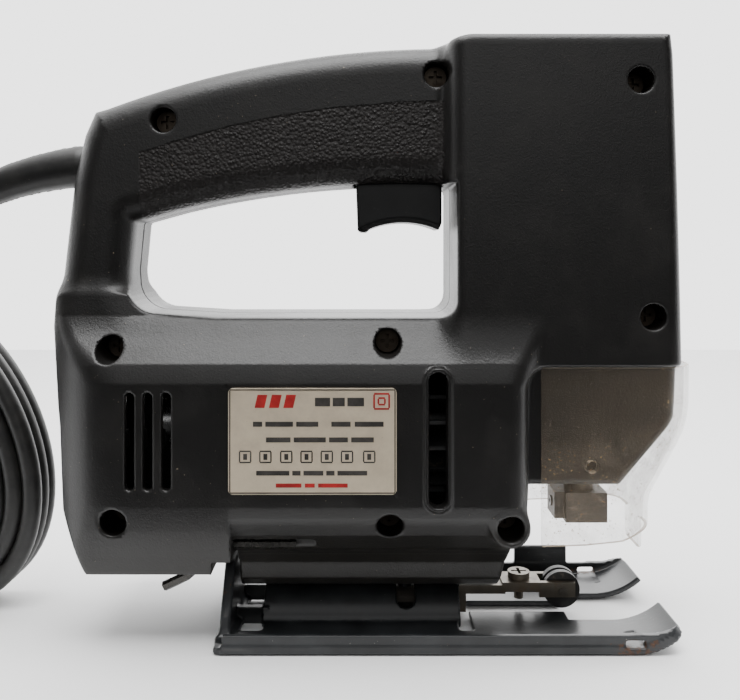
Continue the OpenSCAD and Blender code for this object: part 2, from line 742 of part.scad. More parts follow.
// Turned-up front edge: part of a tube, with a taller rim along both sides
module front_curl() {
    difference() {
        side(sole_w) curl_outline(26 - sole_t);
        block([0, -10.3, -1], [60, 10.3, 60]);
    }
    for (s = [-1, 1]) translate([0, s * (sole_w / 2 - sole_t / 2), 0]) side(sole_t) curl_outline(26 - flange_h + 0.6, 38);
}

module curl_outline(inner_r, turn = 42) translate([8, 26]) intersection() {
    difference() {
        circle(r = 26, $fn = 180);
        circle(r = inner_r, $fn = 180);
    }
    polygon([[0, 0], [0, -60], [60, -60], [60 * sin(turn), -60 * cos(turn)]]);
}

module sole_plate() color("#202124") difference() {
    union() {
        difference() {
            linear_extrude(sole_t) sole_outline();
            block([8, -50, -1], [60, 50, 10]);
        }
        front_curl();
        // turned-up flanges with a rolled lower edge, and an upstand on the left one
        for (s = [-1, 1]) translate([0, s * (sole_w / 2 - sole_t / 2), 0])
            block([sole_rear + 2, -sole_t / 2, 0.6], [8.5, sole_t / 2, flange_h]);
        block([-17, sole_w / 2 - sole_t, 3], [2.8, sole_w / 2, 12.4]);
        // half-round saddle
        intersection() {
            ring_x(saddle_r, saddle_r - sole_t, -107.5, 65.5, 0);
            block([-108, -20, 0], [-42, 20, 20]);
        }
        // rear wall that steadies the tilted body
        along_x(-120, -116.5) intersection() {
            circle(r = 25, $fn = 96);
            polygon([[-24.5, 0.5], [-22, 8], [-12, 22], [12, 22], [22, 8], [24.5, 0.5]]);
        }
        for (s = [-1, 1]) block([-118, s > 0 ? 8 : -10.5, 0.5], [-106, s > 0 ? 10.5 : -8, 6]);
    }
    // curved slot that lets the body tilt about the saddle
    intersection() {
        ring_x(saddle_r + 2, saddle_r - 4, lock_screw_x - 3.1, 6.2, 0);
        along_x(-70, -50) polygon([[0, 0], [-30, 16.5], [-30, 40], [30, 40], [30, 16.5]]);
    }
    // slots for a parallel fence
    block([fence_x - fence_w / 2, -40, fence_z - fence_h / 2], [fence_x + fence_w / 2, 40, fence_z + fence_h / 2]);
}

module sole_screw() color("#55565a") difference() {
    union() {
        rod_z(2.35, 3.5, 20, lock_screw_x);
        rod_z(4.2, 2.6, 3, lock_screw_x);
    }
    translate([lock_screw_x, 0, 2]) cylinder(r = 2, h = 2.6, $fn = 6);
}

module clamp_shoe() color("#6a6b6e") difference() {
    intersection() {
        rod_x(saddle_r - sole_t - 0.3, lock_screw_x - 7, 14);
        block([lock_screw_x - 7, -6, 5.8], [lock_screw_x + 7, 6, 12]);
    }
    rod_z(2.45, 0, 20, lock_screw_x);
}

module roller_support() color("#8c857a") difference() {
    union() {
        block([-41.8, -arm_half_w, 2.05], [-39.4, arm_half_w, 11.1]);
        block([-41.8, -arm_half_w, 8.2], [-26, arm_half_w, 11.1]);
        block([-27, -arm_half_w, 8.8], [roller_x - 7.4, arm_half_w, 12]);
        for (s = [-1, 1]) translate([0, s * (arm_half_w - 0.9), 0])
            block([roller_x - 8, -0.9, 7], [roller_x + 4.2, 0.9, 12]);
    }
    rod_z(1.6, 0, 30, -20.7);
    rod_y(1.5, -20, 40, roller_x, roller_z);
}

module roller() color("#3b3a39") difference() {
    rod_y(roller_r, -3, 6, roller_x, roller_z);
    rod_y(1.55, -5, 10, roller_x, roller_z);
    // groove that the back of a blade runs in
    difference() {
        rod_y(roller_r + 1, -0.8, 1.6, roller_x, roller_z);
        rod_y(roller_r - 1.6, -2, 4, roller_x, roller_z);
    }
}

module roller_pin() color("#a09e9a") rod_y(1.48, -5.4, 10.8, roller_x, roller_z);

module support_screw() color("#8b8176") {
    translate([-20.7, 0, 12]) cross_head(7.4, 2.2);
    rod_z(1.55, 5, 7, -20.7);
}

key_path = [[key_end, key_y, key_z], [-106, key_y, key_z], [-118.5, key_y, key_z], [-121, key_y, key_z - 0.6],
    [-123.4, key_y + 0.3, key_z - 2.3], [-126, key_y + 0.9, key_z - 5.6], [-128.4, key_y + 1.5, key_z - 8.8],
    [-131, key_y + 2.1, key_z - 11.2], [-134.4, key_y + 2.6, key_z - 13], [-138.3, key_y + 3, key_z - 14.9]];

module hex_key() color("#77746e") swept(key_path, 1.6, 1.6, 6);

housing_right();
housing_left();
housing_screws();
rating_plate();
trigger();
trigger_spring();
lock_button();
switch_body();
capacitor();
lead_wires();
inner_cord();
cord_clamp();
cord_clamp_screws();
cord_sleeve();
mains_cord();
cord_coil();
cord_tail();
cord_tie();
mains_plug();
plug_pins();
stator_core();
field_coils();
armature_shaft();
armature_core();
armature_windings();
commutator();
brush_holders();
carbon_brushes();
brush_springs();
rear_bearing();
front_bearing();
fan();
pinion();
drive_gear();
gear_shaft();
gear_clip();
crank_pin();
gearbox_plate();
plunger();
plunger_yoke();
lower_bushing();
upper_bushing();
felt_seal();
blade_clamp();
clamp_screws();
guard();
sole_plate();
sole_screw();
clamp_shoe();
roller_support();
roller();
roller_pin();
support_screw();
hex_key();
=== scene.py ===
"""Looks of the jigsaw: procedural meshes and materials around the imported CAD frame.

Lengths are in millimetres inside the shape functions and become metres when a mesh is made.
X runs forwards, Y to the user's left and Z up; the origin is on the sole, below the plunger.
"""
import math

import bmesh
import bpy
import numpy as np
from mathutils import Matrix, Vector


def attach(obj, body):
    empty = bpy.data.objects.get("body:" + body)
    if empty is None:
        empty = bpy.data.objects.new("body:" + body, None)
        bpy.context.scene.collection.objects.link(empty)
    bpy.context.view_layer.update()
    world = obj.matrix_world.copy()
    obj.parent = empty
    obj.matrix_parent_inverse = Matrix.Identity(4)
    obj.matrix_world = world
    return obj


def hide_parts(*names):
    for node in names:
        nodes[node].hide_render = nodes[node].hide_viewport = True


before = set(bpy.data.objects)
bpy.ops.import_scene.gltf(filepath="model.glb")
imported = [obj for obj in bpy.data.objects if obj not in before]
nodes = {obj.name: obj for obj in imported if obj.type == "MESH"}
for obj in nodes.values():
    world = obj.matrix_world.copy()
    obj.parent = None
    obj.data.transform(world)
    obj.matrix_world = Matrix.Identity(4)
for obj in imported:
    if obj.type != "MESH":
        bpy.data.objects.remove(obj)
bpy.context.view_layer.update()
BODY = "tool_body"
MM = 0.001


# ---------------------------------------------------------------- camera, light and floor

def add_camera():
    """The camera stands to the tool's right at handle height and looks straight across."""
    data = bpy.data.cameras.new("camera")
    data.lens = 41.0
    data.sensor_width = 36.0
    data.shift_x = 0.0068
    data.shift_y = -0.138
    data.clip_start = 0.01
    camera = bpy.data.objects.new("camera", data)
    camera.location = (-0.0737, -0.291, 0.1256)
    camera.rotation_euler = (math.radians(90), 0, 0)
    bpy.context.collection.objects.link(camera)
    bpy.context.scene.camera = camera


def add_area(name, location, target, size, power, colour=(1, 1, 1)):
    data = bpy.data.lights.new(name, "AREA")
    data.shape = "RECTANGLE"
    data.size, data.size_y = size
    data.energy = power
    data.color = colour
    lamp = bpy.data.objects.new(name, data)
    lamp.location = location
    aim = Vector(target) - Vector(location)
    lamp.rotation_euler = aim.to_track_quat("-Z", "Y").to_euler()
    bpy.context.collection.objects.link(lamp)


def add_world():
    """White surroundings, dim on the side that the tool's right faces."""
    world = bpy.data.worlds.new("world")
    bpy.context.scene.world = world
    world.use_nodes = True
    tree = world.node_tree
    background = tree.nodes["Background"]
    background.inputs["Color"].default_value = (1.0, 1.0, 1.0, 1)
    place = tree.nodes.new("ShaderNodeTexCoord")
    split = tree.nodes.new("ShaderNodeSeparateXYZ")
    sweep = tree.nodes.new("ShaderNodeMapRange")
    sweep.interpolation_type = "SMOOTHSTEP"
    for name, value in (("From Min", -0.45), ("From Max", 0.5), ("To Min", 0.085), ("To Max", 3.0)):
        sweep.inputs[name].default_value = value
    tree.links.new(place.outputs["Generated"], split.inputs[0])
    tree.links.new(split.outputs["Y"], sweep.inputs["Value"])
    tree.links.new(sweep.outputs[0], background.inputs["Strength"])


def add_floor():
    mesh = bpy.data.meshes.new("floor")
    half, front, back = 1.6, -0.09, 0.75
    corners = [(-half, front, 0), (half, front, 0), (half, back, 0), (-half, back, 0)]
    mesh.from_pydata(corners, [], [(0, 1, 2, 3)])
    floor = bpy.data.objects.new("floor", mesh)
    floor.location.z = -0.0003
    bpy.context.collection.objects.link(floor)
    material = bpy.data.materials.new("floor_white")
    material.use_nodes = True
    shader = material.node_tree.nodes["Principled BSDF"]
    shader.inputs["Base Color"].default_value = (0.92, 0.92, 0.92, 1)
    shader.inputs["Roughness"].default_value = 0.9
    mesh.materials.append(material)


add_camera()
add_world()
add_floor()
add_area("top_softbox", (-0.05, -0.15, 0.95), (-0.06, 0, 0.1), (0.9, 0.7), 16)
add_area("front_fill", (-0.1, -1.3, 0.7), (-0.07, 0, 0.1), (1.4, 0.8), 3.5)
add_area("rear_fill", (0.2, 1.2, 0.9), (-0.07, 0.3, 0.0), (1.2, 0.9), 12)


# ---------------------------------------------------------------- cord route

CORD_D = 6.5
COIL_CENTRE = (-234.0, 57.7)
COIL_TILT = math.radians(30)
COIL_LONG = 62.0
COIL_SHORT = 42.0
COIL_TURNS = 8
LEAD = [(-224, 0, 134), (-230, 0, 130.2), (-236, 0.2, 126.4), (-242, 0.5, 122.8), (-248, 1, 119),
        (-254, 1.4, 115.4), (-260, 1.8, 111.4), (-265, 2.4, 107.4)]
TAIL = [(-272, 20, 68), (-277, 24, 59), (-284, 28, 48.5), (-292, 32, 38), (-299.5, 35.5, 29.5),
        (-305, 37.6, 23), (-307.4, 38.8, 16.6), (-305, 39.4, 11.4), (-299.5, 39.5, 9), (-292, 39.5, 9)]
# places of the turns in the bundle: row inwards and column across, in cord diameters
COIL_PLACES = [(0, 0), (0, 1), (0, 2), (1, 2), (1, 1), (1, 0), (2, 0), (2, 1), (2, 2)]
COIL_START, COIL_END = 22.0, 18.0


def smooth_step(x, low, high):
    t = min(max((x - low) / (high - low), 0.0), 1.0)
    return t * t * (3 - 2 * t)


def coil_point(turns):
    """A point on the coil after so many turns, counted from the top of its long axis."""
    turn = min(int(turns), COIL_TURNS - 1)
    shift = smooth_step(turns - turn, 0.80, 1.0)
    row0, col0 = COIL_PLACES[turn]
    row1, col1 = COIL_PLACES[turn + 1]
    inward = CORD_D * (0.5 + row0 + (row1 - row0) * shift)
    across = CORD_D * (0.5 + col0 + (col1 - col0) * shift)
    angle = 2 * math.pi * turns
    along = (COIL_LONG - inward) * math.cos(angle)
    aside = (COIL_SHORT - inward) * math.sin(angle)
    sin_t, cos_t = math.sin(COIL_TILT), math.cos(COIL_TILT)
    x = COIL_CENTRE[0] - along * sin_t - aside * cos_t
    z = COIL_CENTRE[1] + along * cos_t - aside * sin_t
    return (x, across, z)


def cord_route():
    first = COIL_START / 360
    last = COIL_TURNS + COIL_END / 360 - 0.001
    steps = COIL_TURNS * 26
    coil = [coil_point(first + (last - first) * i / steps) for i in range(steps + 1)]
    return LEAD + coil + [(-267.5, 14.5, 79)] + TAIL


def route_length(points):
    return sum(math.dist(a, b) for a, b in zip(points, points[1:]))


def cord_curve(name, points, diameter):
    """A smooth round cord through the points."""
    data = bpy.data.curves.new(name, "CURVE")
    data.dimensions = "3D"
    spline = data.splines.new("NURBS")
    spline.points.add(len(points) - 1)
    for point, place in zip(spline.points, points):
        point.co = (place[0] * MM, place[1] * MM, place[2] * MM, 1)
        point.radius = diameter / 2 * MM
    spline.order_u = 4
    spline.use_endpoint_u = True
    spline.resolution_u = 3
    data.bevel_depth = 1.0
    data.bevel_resolution = 5
    data.use_fill_caps = True
    curve = bpy.data.objects.new(name, data)
    bpy.context.collection.objects.link(curve)
    return curve


route = cord_route()
cord = cord_curve("mains_flex", route, CORD_D)
print("cord length mm:", round(route_length(route)))

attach(cord, BODY)
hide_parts("mains_cord", "cord_coil", "cord_tail")


# ---------------------------------------------------------------- solids from distance fields

def smooth_min(a, b, k):
    """Union with a fillet of about k."""
    h = np.clip(0.5 + 0.5 * (b - a) / k, 0, 1)
    return b + (a - b) * h - k * h * (1 - h)


def smooth_max(a, b, k):
    """Intersection with an edge rounded by about k."""
    return -smooth_min(-a, -b, k)


def polygon(points):
    """Signed distance to a closed outline, as a function of two coordinates."""
    corners = np.array(points, np.float32)
    after = np.roll(corners, -1, axis=0)

    def field(u, v):
        u, v = np.asarray(u, np.float32), np.asarray(v, np.float32)
        best = np.full(np.broadcast(u, v).shape, 1e9, np.float32)
        inside = np.zeros(best.shape, bool)
        for (u0, v0), (u1, v1) in zip(corners, after):
            du, dv = u1 - u0, v1 - v0
            t = np.clip(((u - u0) * du + (v - v0) * dv) / (du * du + dv * dv), 0, 1)
            best = np.minimum(best, (u - u0 - t * du) ** 2 + (v - v0 - t * dv) ** 2)
            if dv:
                inside ^= ((v0 > v) != (v1 > v)) & (u < (v - v0) * du / dv + u0)
        return np.where(inside, -1, 1) * np.sqrt(best)

    return field


def arc(cx, cy, r, start, end, steps):
    """Points on an arc, angles in degrees."""
    angles = np.radians(np.linspace(start, end, steps + 1))
    return [(cx + r * math.cos(a), cy + r * math.sin(a)) for a in angles]


def box(x, y, z, low, high, r=0.0):
    """Distance to a box with edges rounded by r."""
    parts = [np.abs(c - (a + b) / 2) - (b - a) / 2 + r for c, a, b in zip((x, y, z), low, high)]
    outside = np.sqrt(sum(np.maximum(p, 0) ** 2 for p in parts))
    return outside + np.minimum(np.maximum(np.maximum(parts[0], parts[1]), parts[2]), 0) - r


def rectangle(u, v, low, high, r=0.0):
    parts = [np.abs(c - (a + b) / 2) - (b - a) / 2 + r for c, a, b in zip((u, v), low, high)]
    return np.hypot(np.maximum(parts[0], 0), np.maximum(parts[1], 0)) + np.minimum(np.maximum(*parts), 0) - r


def thick(flat, across, half, r):
    """A flat shape given thickness, with edges rounded by r."""
    wide, deep = flat + r, np.abs(across) - half + r
    return np.hypot(np.maximum(wide, 0), np.maximum(deep, 0)) + np.minimum(np.maximum(wide, deep), 0) - r


def capsule(u, v, a, b, r):
    """Distance to a flat line from a to b, made r wide to each side."""
    du, dv = b[0] - a[0], b[1] - a[1]
    t = np.clip(((u - a[0]) * du + (v - a[1]) * dv) / (du * du + dv * dv), 0, 1)
    return np.hypot(u - a[0] - t * du, v - a[1] - t * dv) - r


def segment(x, y, z, a, b, r):
    """Distance to a round bar from a to b."""
    d = [q - p for p, q in zip(a, b)]
    t = np.clip(sum((c - p) * e for c, p, e in zip((x, y, z), a, d)) / sum(e * e for e in d), 0, 1)
    return np.sqrt(sum((c - p - t * e) ** 2 for c, p, e in zip((x, y, z), a, d))) - r


def field_normal(field, p, centre):
    eps = 0.03
    return np.stack([(field(*(p + eps * axis).T) - centre) / eps for axis in np.eye(3, dtype=np.float32)], 1)


CORNERS = [(i, j, k) for i in (0, 1) for j in (0, 1) for k in (0, 1)]
CELL_EDGES = [(a, b) for a in CORNERS for b in CORNERS
              if sum(b) - sum(a) == 1 and all(p <= q for p, q in zip(a, b))]


def solid(name, field, low, high, step, body=BODY):
    """A smooth closed mesh on the surface where the field is zero."""
    step = step * 1.0
    axes = [np.arange(a - 1.5 * step, b + 2.5 * step, step, dtype=np.float32) for a, b in zip(low, high)]
    shape = tuple(len(a) for a in axes)
    values = field(axes[0][:, None, None], axes[1][None, :, None], axes[2][None, None, :])
    values = np.broadcast_to(values, shape)
    values = np.where(np.abs(values) < 1e-5, 1e-5, values).astype(np.float32)
    inside = values < 0
    cut = lambda array, corner: array[tuple(slice(c, c + n - 1) for c, n in zip(corner, shape))]
    count = sum(cut(inside, c).astype(np.uint8) for c in CORNERS)
    mixed = (count > 0) & (count < 8)
    cells = np.argwhere(mixed)
    index = np.full(mixed.shape, -1, np.int64)
    index[mixed] = np.arange(len(cells))
    total, hits = np.zeros((len(cells), 3), np.float32), np.zeros(len(cells), np.float32)
    for a, b in CELL_EDGES:
        va, vb = cut(values, a)[mixed], cut(values, b)[mixed]
        crossed = (va < 0) != (vb < 0)
        t = np.where(crossed, va / np.where(crossed, va - vb, 1), 0)[:, None]
        place = np.array(a, np.float32) + t * (np.array(b, np.float32) - np.array(a, np.float32))
        total += np.where(crossed[:, None], place, 0)
        hits += crossed
    origin = np.array([a[0] for a in axes], np.float32)
    points = origin + (cells + total / hits[:, None]) * step
    for _ in range(3):
        centre = field(*points.T)
        normal = field_normal(field, points, centre)
        move = -centre[:, None] * normal / np.maximum((normal ** 2).sum(1), 0.2)[:, None]
        size = np.linalg.norm(move, axis=1, keepdims=True)
        points = points + move * np.minimum(1, 0.5 * step / np.maximum(size, 1e-9))
    faces = []
    for axis in range(3):
        u, v = [(1, 2), (2, 0), (0, 1)][axis]
        here = [slice(None)] * 3
        nxt = [slice(None)] * 3
        here[axis], nxt[axis] = slice(0, -1), slice(1, None)
        for other in (u, v):
            here[other] = nxt[other] = slice(1, -1)
        a_in, b_in = inside[tuple(here)], inside[tuple(nxt)]
        for rising in (True, False):
            found = np.argwhere(a_in & ~b_in if rising else ~a_in & b_in)
            found[:, u] += 1
            found[:, v] += 1
            ring = []
            for du, dv in ((-1, -1), (0, -1), (0, 0), (-1, 0)):
                cell = found.copy()
                cell[:, u] += du
                cell[:, v] += dv
                ring.append(index[cell[:, 0], cell[:, 1], cell[:, 2]])
            quads = np.stack(ring, 1)
            faces.append(quads if rising else quads[:, ::-1])
    faces = np.concatenate(faces)
    centre = field(*points.T)
    normals = field_normal(field, points, centre)
    normals /= np.maximum(np.linalg.norm(normals, axis=1, keepdims=True), 1e-6)
    mesh = bpy.data.meshes.new(name)
    mesh.vertices.add(len(points))
    mesh.vertices.foreach_set("co", (points * MM).astype(np.float32).ravel())
    mesh.loops.add(faces.size)
    mesh.loops.foreach_set("vertex_index", faces.astype(np.int32).ravel())
    mesh.polygons.add(len(faces))
    mesh.polygons.foreach_set("loop_start", np.arange(0, faces.size, 4, dtype=np.int32))
    mesh.polygons.foreach_set("loop_total", np.full(len(faces), 4, np.int32))
    mesh.polygons.foreach_set("use_smooth", np.ones(len(faces), bool))
    mesh.update(calc_edges=True)
    mesh.validate()
    mesh.normals_split_custom_set_from_vertices(normals.tolist())
    piece = bpy.data.objects.new(name, mesh)
    bpy.context.collection.objects.link(piece)
    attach(piece, body)
    return piece


# ---------------------------------------------------------------- housing shells

WALL = 3.0
HOUSING_STEP = 0.95
BULGE, HANDLE, BLOCK, NOSE = 33.0, 17.5, 26.0, 22.0  # half widths
MOTOR_Z = 66.0
BOW = (-48, -126, 318.3)
SCREWS = [(-139.3, 167.3, 8), (-50.4, 182, 9), (13.3, 178.6, 14), (-154, 93.6, 12), (-66.5, 95.5, 15),
          (17.2, 103.8, 14), (-151.5, 40.7, 14), (-65.9, 39.1, 15), (-28.4, 38.4, 15)]
VENTS = (-146.2, -140.6, -134.9)
EXHAUST_X = -51.2
PLATE = ((-116.6, 49), (-63, 83.6))
KEY_PATH = [(-95.4, -22.6, 31.6), (-118.5, -22.6, 31.6), (-121, -22.6, 31), (-123.4, -22.3, 29.3),
            (-126, -21.7, 26), (-128.4, -21.1, 22.8), (-131, -20.5, 20.4), (-138.3, -19.6, 16.7)]

side_outline = polygon(
    [(-161.5, 22.8), (-171, 42), (-174, 78), (-176, 100), (-170.5, 148), (-167, 163), (-163.5, 171)]
    + arc(*BOW, 110.5, 90.6, 16)
    + [(-40, 194), (23.5, 194), (24.4, 187), (28.6, 88), (26.4, 71), (8, 49.3), (-21, 49.3), (-23.4, 38),
       (-25, 32), (-29, 12.5), (-115.5, 12.5), (-115.6, 22.8)])
grip_outline = polygon(
    [(-149.5, 134), (-151, 118)] + arc(-141, 114.5, 10, 175, 262, 8) + [(-122, 103.3)]
    + arc(-50, 108.8, 5.5, 270, 360, 6) + [(-44.5, 146.3)] + arc(-61, -175.4, 322, 88, 103.5, 12))
bulge_section = polygon(
    [(0, 112), (17.5, 110), (18.5, 103.5), (30.5, 89.5), (33, 84), (33, 46), (31.5, 41.5), (27, 35.2),
     (20, 29.2), (15, 26.2), (12.6, 24), (-1, 24), (-1, 112)])
skirt_section = polygon(
    [(0, 112), (17.5, 110), (18.5, 103.5), (30.5, 89.5), (33, 84), (33, 46), (31.5, 38), (29.5, 30),
     (28, 22.8), (-1, 22.8), (-1, 112)])
keel_section = polygon([(-1, 36), (15, 34), (15, 26.2), (12.6, 22), (12, 16), (8.5, 12.5), (-1, 12.5)])


def body_form(x, y, z):
    """Outer form of the closed housing."""
    ay = np.abs(y)
    side = side_outline(x, z)
    grip = grip_outline(x, z)
    rim = smooth_max(side, -grip, 3.0)
    handle = thick(rim, y, HANDLE, 9.5)
    handle = smooth_max(handle, 72 - z, 8)
    plan_bulge = rectangle(x, y, (-176, -BULGE), (-22.3, BULGE), 8.0)
    plan_bulge = np.maximum(plan_bulge, rectangle(x, y, (-176, -BULGE), (30, BULGE), 28.0))
    section = np.where(x < -115.6, skirt_section(ay, z), bulge_section(ay, z))
    bulge = smooth_max(smooth_max(section, plan_bulge, 3.0), rim, 2.0)
    plan_block = rectangle(x, y, (-47.5, -BLOCK), (28.8, BLOCK), 7.0)
    block = smooth_max(smooth_max(plan_block, side, 4.0), 88 - z, 1.2)
    nose = smooth_max(smooth_max(rectangle(x, y, (-45, -NOSE), (27, NOSE), 5.0), side, 3.0), z - 100, 2.0)
    nose = smooth_max(nose, 49.3 - z, 1.0)
    keel = smooth_max(keel_section(ay, z), rectangle(x, z, (-115.5, 5), (-20, 60), 0.5), 1.0)
    keel = smooth_max(keel, side, 1.5)
    form = smooth_min(handle, block, 5.0)
    form = smooth_min(form, bulge, 7.0)
    form = smooth_min(form, nose, 1.5)
    form = smooth_min(form, keel, 3.0)
    form = smooth_max(form, rim, 1.0)
    front_boss = smooth_max(np.hypot(x + 28.4, z - 38.4) - 6.2, ay - 30.5, 1.2)
    return smooth_min(form, front_boss, 2.0)


def wall_slot(x, z, at, width, low, high):
    return capsule(x, z, (at, low + width / 2), (at, high - width / 2), width / 2)


def housing(x, y, z, hand):
    """One shell: hand is -1 for the right one and 1 for the left one."""
    form = body_form(x, y, z)
    out = hand * y
    shell = form
    # room for the sole's rear wall, and the keel's seat on the saddle
    shell = smooth_max(shell, -np.maximum(z - 27.5, np.abs(x + 118.5) - 3.0), 0.5)
    shell = smooth_max(shell, -np.maximum(np.hypot(y, z) - 12.4, x + 21.5), 0.4)
    # screws: counterbored on the right, blind on the left
    bosses = np.float32(1e3)
    for sx, sz, depth in SCREWS:
        away = np.hypot(x - sx, z - sz)
        bosses = np.minimum(bosses, away - 5.2)
        if hand < 0:
            shell = smooth_max(shell, -np.maximum(away - 4.1, depth - out), 0.9)
    # cooling slots
    for at in VENTS:
        shell = smooth_max(shell, -np.maximum(wall_slot(x, z, at, 2.8, 51, 81), 26.5 - out), 0.7)
    exhaust = wall_slot(x, z, EXHAUST_X, 5.2, 46, 87)
    shell = smooth_min(shell, np.maximum(np.abs(exhaust - 0.9) - 0.9, np.abs(out - 32.3) - 1.0), 0.8)
    shell = smooth_max(shell, -np.maximum(exhaust, 25 - out), 1.6)
    if hand < 0:
        # recess of the rating plate and groove of the hex key
        shell = smooth_max(shell, -np.maximum(rectangle(x, z, *PLATE, 2.0), 32.4 - out), 0.5)
        groove = capsule(x, z, (-125, 31.6), (-91, 31.6), 1.85)
        shell = smooth_max(shell, -np.maximum(np.maximum(groove, 20.8 - out), -115.5 - x), 0.4)
        channel = np.float32(1e3)
        for a, b in zip(KEY_PATH, KEY_PATH[1:]):
            channel = np.minimum(channel, segment(x, y, z, a, b, 2.0))
        shell = smooth_max(shell, -channel, 0.5)
    else:
        shell = smooth_max(shell, -np.maximum(np.hypot(x + 98, z - 163) - 4.8, 9 - out), 0.8)
    # holes for the trigger, the cord sleeve, the plunger and the guard's pegs
    shell = smooth_max(shell, -box(x, y, z, (-77.6, -9.8, 130), (-47.2, 9.8, 152)), 0.8)
    shell = smooth_max(shell, -np.maximum(np.hypot(y, z - 153.6) - 7.4, x + 160), 0.8)
    shell = smooth_max(shell, -np.maximum(np.hypot(x, y) - 7.5, np.abs(z - 50) - 6), 0.8)
    shell = smooth_max(shell, -np.maximum(np.hypot(x + 1.5, z - 56) - 2.1, 20 - out), 0.5)
    # hollow
    hollow = form + WALL
    hollow = np.maximum(hollow, np.where(x > -25.3, 66.3 - z, 36.0 - z))
    hollow = np.maximum(hollow, -bosses)
    ribs = np.maximum(np.abs(z - MOTOR_Z) - 3, np.abs(out - 28.5) - 2.5)
    hollow = np.maximum(hollow, -np.maximum(ribs, np.abs(x + 140.5) - 9.5))
    hollow = np.maximum(hollow, -box(x, y, z, (-10, -40, 127), (10, 40, 140)))
    shell = smooth_max(shell, -hollow, 0.4)
    return smooth_max(shell, 0.06 - out, 0.55)


def add_housing(name, stands_for, hand):
    y_range = (-34, 0) if hand < 0 else (0, 34)
    low, high = (-177, y_range[0], 12), (29.5, y_range[1], 195)
    piece = solid(name, lambda x, y, z: housing(x, y, z, hand), low, high, HOUSING_STEP)
    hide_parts(stands_for)
    return piece


right_shell = add_housing("shell_right", "housing_right", -1)
left_shell = add_housing("shell_left", "housing_left", 1)


# ---------------------------------------------------------------- materials

class Graph:
    """A short way to write a material's nodes. Places are in metres, in the object's own frame."""

    def __init__(self, name):
        self.material = bpy.data.materials.new(name)
        self.material.use_nodes = True
        self.tree = self.material.node_tree
        self.shader = self.tree.nodes["Principled BSDF"]
        self.place = self.tree.nodes.new("ShaderNodeTexCoord").outputs["Object"]
        split = self.add("ShaderNodeSeparateXYZ", Vector=self.place)
        self.x, self.y, self.z = split.outputs

    def put(self, socket, value):
        if isinstance(value, bpy.types.NodeSocket):
            self.tree.links.new(value, socket)
        elif isinstance(value, tuple) and len(value) == 3 and socket.type == "RGBA":
            socket.default_value = (*value, 1)
        else:
            socket.default_value = value

    def add(self, kind, settings=None, **inputs):
        node = self.tree.nodes.new(kind)
        for key, value in (settings or {}).items():
            setattr(node, key, value)
        for key, value in inputs.items():
            self.put(node.inputs[key.replace("_", " ")], value)
        return node

    def math(self, operation, *values):
        node = self.add("ShaderNodeMath", {"operation": operation})
        for socket, value in zip(node.inputs, values):
            self.put(socket, value)
        return node.outputs[0]

    def step(self, value, low, high, to_low=0.0, to_high=1.0):
        node = self.add("ShaderNodeMapRange", {"interpolation_type": "SMOOTHSTEP"}, Value=value, From_Min=low,
                        From_Max=high, To_Min=to_low, To_Max=to_high)
        return node.outputs[0]

    def noise(self, scale, detail=2.0, roughness=0.5, stretch=(1, 1, 1)):
        place = self.add("ShaderNodeMapping", Vector=self.place, Scale=stretch).outputs[0]
        node = self.add("ShaderNodeTexNoise", Vector=place, Scale=scale, Detail=detail, Roughness=roughness)
        return node.outputs[0]

    def cells(self, scale, feature="F1"):
        node = self.add("ShaderNodeTexVoronoi", {"feature": feature}, Vector=self.place, Scale=scale)
        return node.outputs["Distance"]

    def mix(self, factor, a, b):
        node = self.add("ShaderNodeMix", {"data_type": "RGBA"})
        for socket, value in zip((node.inputs[0], node.inputs[6], node.inputs[7]), (factor, a, b)):
            self.put(socket, value)
        return node.outputs[2]

    def bump(self, height, depth, strength=1.0, normal=None):
        node = self.add("ShaderNodeBump", Height=height, Distance=depth, Strength=strength)
        if normal is not None:
            self.put(node.inputs["Normal"], normal)
        return node.outputs[0]

    def finish(self, **sockets):
        for key, value in sockets.items():
            self.put(self.shader.inputs[key.replace("_", " ")], value)
        return self.material


def dress(material, *names):
    """Give CAD nodes or new pieces a material."""
    for name in names:
        piece = nodes[name] if isinstance(name, str) else name
        if not piece.data.materials:
            piece.data.materials.append(material)
        for slot in piece.material_slots:
            slot.material = material


